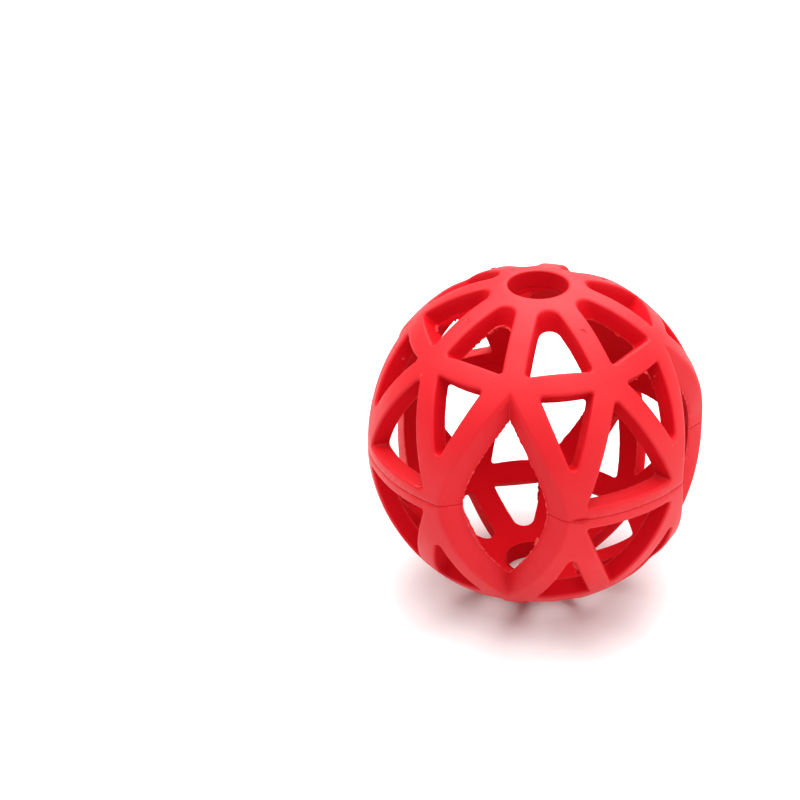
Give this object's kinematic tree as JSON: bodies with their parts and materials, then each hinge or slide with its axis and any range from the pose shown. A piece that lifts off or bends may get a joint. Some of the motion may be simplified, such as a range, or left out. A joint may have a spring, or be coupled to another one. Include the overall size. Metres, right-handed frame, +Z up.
{
  "type": "lattice ball",
  "caption": "Hollow rubber lattice ball for dogs: two moulded open-work half shells bonded at the equator, with pointed lens openings, triangular windows and a round hole at each pole.",
  "frame": {"origin": "centre of the ball", "axes": "+Z up along the polar axis through both round holes; one lens opening faces -Y, which is the front, and the others face +X, -X and +Y"},
  "size_m": [0.0836, 0.0836, 0.0882],
  "materials": {
    "rubber": "satin moulded rubber, red all through"
  },
  "bodies": {
    "root": {"upper_half": "rubber", "lower_half": "rubber"}
  },
  "joints": []
}
